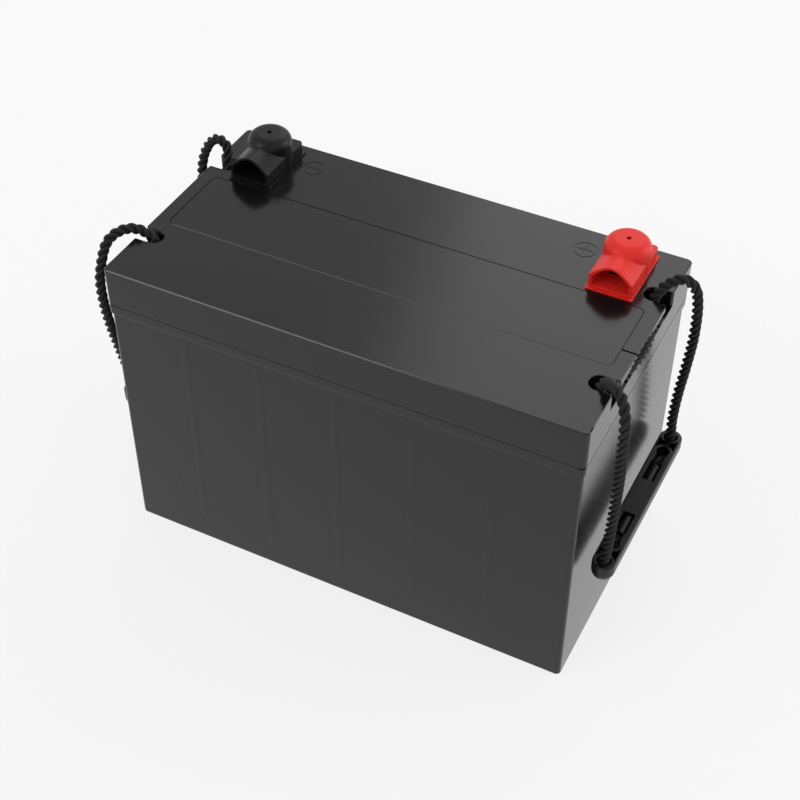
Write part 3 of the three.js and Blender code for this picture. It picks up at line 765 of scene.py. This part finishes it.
def buildBoot(pole):
    node = f"{pole}_terminal_cover"
    low, high = span(node)
    x, y = poles[pole] * terminal["x"], terminal["y"]
    front, back, base = low.y + boot["lip"], high.y - boot["lip"], low.z
    half, wall, roof = (high.x - low.x) / 2 - boot["lip"], boot["wall"], boot["roof"]
    middle, skirt = (low.y + high.y) / 2, base + boot["plate"] + boot["gap"]
    inside = (half - wall, boot["innerEaves"], boot["ridge"] - roof)
    room = (x - half + wall, x + half - wall)
    skin = tunnelBlock("boot", half, boot["eaves"], boot["ridge"], skirt, front, y, x)
    carve(skin, [
        block("deck", half, (back - y + 1) / 2, 2, skirt, boot["deck"], brow=boot["deckBrow"],
              centre=(x, (back + y - 1) / 2)),
        domeBlock("dome", boot["dome"], skirt, high.z, boot["domeRound"], (x, y))], "UNION")
    carve(skin, [
        tunnelBlock("hollow", *inside, base - 1, boot["floorEnd"], y, x),
        tunnelBlock("arch", *inside, base + boot["sill"], front - 3, boot["floorEnd"] + 1, x),
        slabBetween("under_deck", room, (y - 2, back - wall), base - 1, boot["deck"] - roof),
        domeBlock("under_dome", boot["dome"] - wall, skirt + 1, high.z - roof, boot["domeRound"] - 1,
                  (x, y)),
        lathe("pin_hole", [(boot["hole"], high.z - 4), (boot["hole"], high.z + 1)], (x, y), 24)])
    remeshSoft(skin, boot["voxel"], boot["relax"], boot["keep"])
    seat = block("seat", half + boot["lip"], (high.y - low.y) / 2, 0.8, base, base + boot["plate"],
                 centre=(x, middle))
    inset = boot["neckInset"]
    neck = block("neck", half - inset, (back - front) / 2 - inset, 0.6, base + 0.3, skirt + 0.4,
                 centre=(x, middle))
    for part in (seat, neck):                # a thin plate under a narrow shadow gap
        carve(part, [slabBetween("under", room, (boot["floorEnd"], back - wall), base - 1, skirt + 2)])
        mergeFlat(part)
        softenEdges(part, boot["edge"], 50)
    joined(skin, [seat, neck])
    skin.name = f"{pole}_boot_skin"
    smooth(skin, 50, weighted=False)
    finishNode(node, skin)


def buildTerminal(pole):
    centre = (poles[pole] * terminal["x"], terminal["y"])
    low, high = span(f"{pole}_terminal_bush")
    body, flange, bore = bush["body"], bush["flange"], washer["bore"]
    seat, floor = high.z - bush["flangeDepth"], low.z + bush["floor"]
    insert = lathe(f"{pole}_bush_turned", [
        (tiny, low.z), (body - 0.5, low.z), (body, low.z + 0.5), (body, seat), (flange - 0.3, seat),
        (flange, seat + 0.3), (flange, high.z - 0.4), (flange - 0.4, high.z), (bore + 0.5, high.z),
        (bore, high.z - 0.5), (bore, floor), (tiny, floor)], centre)
    smooth(insert)
    finishNode(f"{pole}_terminal_bush", insert)
    low, high = span(f"{pole}_plain_washer")
    rim = washer["plain"]
    plain = lathe(f"{pole}_plain_washer_stamped", [
        (bore + 0.15, low.z), (rim - 0.25, low.z), (rim, low.z + 0.25), (rim, high.z - 0.4),
        (rim - 0.4, high.z), (bore + 0.3, high.z), (bore, high.z - 0.3), (bore, low.z + 0.15)],
        centre, loop=True)
    smooth(plain)
    finishNode(f"{pole}_plain_washer", plain)
    low, high = span(f"{pole}_spring_washer")
    inner, outer, wire = bore, washer["spring"], (high.z - low.z) * 0.72
    rings, steps, gap = [], 60, washer["gapAngle"]
    for i in range(steps + 1):               # one open turn that climbs a little
        a = -math.pi / 2 + math.radians(gap / 2) + i / steps * math.radians(360 - gap)
        z = low.z + (high.z - low.z - wire) * i / steps
        rings.append([(centre[0] + r * math.cos(a), centre[1] + r * math.sin(a), z + rise) for r, rise in (
            (inner, 0.1), (inner + 0.15, 0), (outer - 0.15, 0), (outer, 0.15), (outer, wire - 0.15),
            (outer - 0.15, wire), (inner + 0.15, wire), (inner, wire - 0.1))])
    spring = loft(f"{pole}_spring_washer_coil", rings)
    smooth(spring)
    finishNode(f"{pole}_spring_washer", spring)
    low, high = span(f"{pole}_terminal_bolt")
    radius, headBottom, head, count = (high.y - low.y) / 2, high.z - bolt["headDepth"], bolt["head"], 48
    sixth, third = math.pi / 6, math.pi / 3
    levels = [(bolt["middle"], low.z), (bolt["tip"], low.z), (bolt["shank"], low.z + 0.8),
              (bolt["shank"], headBottom), (head - 0.3, headBottom), (head, headBottom + 0.3),
              (head, high.z - 1.2), (bolt["crown"], high.z), (bolt["middle"], high.z)]
    rings = []
    for r, z in levels:
        hexagon, ring = r > bolt["crown"], []
        for i in range(count):
            a = 2 * math.pi * i / count
            flat = radius * math.cos(sixth) / math.cos((a + sixth) % third - sixth)
            reach = min(flat, r + 0.3) if hexagon else min(r, flat)
            ring.append((centre[0] + reach * math.cos(a), centre[1] + reach * math.sin(a), z))
        rings.append(ring)
    screw = loft(f"{pole}_bolt_forged", rings)
    smooth(screw, 25)
    finishNode(f"{pole}_terminal_bolt", screw)


for pole in poles:
    buildBoot(pole)
    buildTerminal(pole)
print("terminals done")


# ---- grips: a half-round bar with two rope holes, a trough and a pocket at each end
def buildGrip(end):
    x, top = ends[end] * grip["x"], grip["top"]
    half, bottom = grip["width"] / 2, grip["top"] - grip["height"]
    belly, brow = bottom + half, grip["brow"]
    tunnelHalf, tunnelRoof = grip["tunnel"]
    troughHalf, troughDepth = grip["trough"]
    hollowWall, hollowHalf, hollowDepth, hollowOut = grip["hollow"]
    levels = [(half * math.cos(a), belly - half * math.sin(a))
              for a in [math.pi / 2 * (1 - k / 12) for k in range(13)]][1:]
    levels += [(half - brow * (1 - math.cos(a)), top - brow * (1 - math.sin(a)))
               for a in [k / 4 * math.pi / 2 for k in range(5)]]
    bar = loft(f"{end}_grip_moulding",
               [roundedRing(w, grip["holeY"] + w, w - tiny, z, (x, 0), 10) for w, z in levels])
    tools = []
    for side in (-1, 1):
        holeY, ringY = side * grip["holeY"], side * grip["ringY"]
        floor = top - grip["depth"]
        tools.append(lathe("hole", [(grip["hole"], floor), (grip["hole"], top + 1)], (x, holeY), 32))
        tools.append(lathe("ring", [(grip["ring"], floor), (grip["ring"], top + 1)], (x, ringY), 32))
        y = side * (grip["ringY"] - 6), side * (grip["holeY"] + 2)
        tools.append(slabBetween("under", (x - tunnelHalf, x + tunnelHalf), y, bottom + 1,
                                 top - tunnelRoof))
        inner, outer = grip["pocket"]
        tools.append(block("trough", troughHalf, (grip["ringY"] - outer + 1) / 2, 0.4, top - troughDepth,
                           top + 1, centre=(x, side * (grip["ringY"] + outer - 1) / 2)))
        tools.append(block("pocket", grip["pocketWidth"] / 2, (outer - inner) / 2, 0.5,
                           top - grip["pocketDepth"], top + 1, centre=(x, side * (inner + outer) / 2)))
        hollow = block("hollow", half - hollowWall, hollowHalf, 0.6, top - hollowDepth, top + 1,
                       centre=(x, side * (grip["ringY"] + hollowOut)))
        below, above = top - hollowDepth - 1, top + 2
        aroundHole, aroundRing = grip["hole"] + grip["holeWall"], grip["ring"] + grip["ringWall"]
        carve(hollow, [lathe("keep", [(aroundHole, below), (aroundHole, above)], (x, holeY)),
                       lathe("keep", [(aroundRing, below), (aroundRing, above)], (x, ringY)),
                       slabBetween("web", (x - grip["webHalf"], x + grip["webHalf"]),
                                   (side * 40, side * 60), below, above)])
        tools.append(hollow)
    carve(bar, tools)
    mergeFlat(bar)
    softenEdges(bar, grip["edge"], 45)
    smooth(bar)
    finishNode(f"{end}_grip", bar)


def buildFerrule(end, leg):                  # a plain moulded sleeve on the rope's end
    node = f"{end}_{leg}_ferrule"
    low, high = span(node)
    radius, length = (high.x - low.x) / 2, high.y - low.y
    profile = [(0.4, 0), (radius - 0.7, 0), (radius - 0.2, 0.2), (radius, 0.8), (radius, length - 0.8),
               (radius - 0.2, length - 0.2), (radius - 0.7, length), (0.4, length)]
    sleeve = lathe(f"{node}_sleeve", profile, sides=32)
    middle = (low + high) / 2
    sleeve.data.transform(Matrix.Translation(Vector((middle.x, high.y, middle.z)) * mm)
                          @ Matrix.Rotation(math.pi / 2, 4, "X"))
    smooth(sleeve)
    finishNode(node, sleeve)


for end in ends:
    buildGrip(end)
    for leg in legs[end]:
        buildFerrule(end, leg)
print("grips done")

for node in slotOf:                          # what stays as CAD still gets its real finish
    if "_plates" in node or "_separator" in node:
        finishNode(node)


# ---- studio: pale floor, even sky and three soft boxes
studio = {"sky": 0.76, "floor": 0.155, "glow": 0.785, "reach": 6000, "target": (0, 0, 0.1),
          "boxes": {                         # place in metres, size, watts
              "right_box": ((2.4, 1.5, 1.0), 1.4, 20),
              "back_box": ((0.0, 2.2, 2.5), 2.2, 18),
              "front_box": ((-1.45, -1.95, 1.9), 1.1, 16)}}


def softBox(name, place, target, size, watts):
    lamp = bpy.data.lights.new(name, "AREA")
    lamp.shape, lamp.size, lamp.energy = "SQUARE", size, watts
    box = bpy.data.objects.new(name, lamp)
    box.location = place
    box.rotation_euler = (Vector(target) - Vector(place)).to_track_quat("-Z", "Y").to_euler()
    bpy.context.collection.objects.link(box)


def buildStudio():
    scene = bpy.context.scene
    scene.view_settings.view_transform = "Standard"
    world = bpy.data.worlds.new("studio")
    scene.world = world
    world.use_nodes = True
    sky = world.node_tree.nodes["Background"].inputs
    sky["Color"].default_value = (1, 1, 1, 1)
    sky["Strength"].default_value = studio["sky"]
    reach = studio["reach"]
    corners = [(-reach, -reach, 0), (reach, -reach, 0), (reach, reach, 0), (-reach, reach, 0)]
    floor = meshPiece("floor", corners, [(0, 1, 2, 3)])
    paper = Finish("white_paper", Roughness=0.9, Specular_IOR_Level=0.0)
    shade = studio["floor"]
    paper.set("Base Color", (shade, shade, shade, 1))
    paper.surface.inputs["Emission Color"].default_value = (1, 1, 1, 1)
    paper.surface.inputs["Emission Strength"].default_value = studio["glow"]
    floor.data.materials.append(paper.material)
    for name, (place, size, watts) in studio["boxes"].items():
        softBox(name, place, studio["target"], size, watts)


buildStudio()
print("studio done")
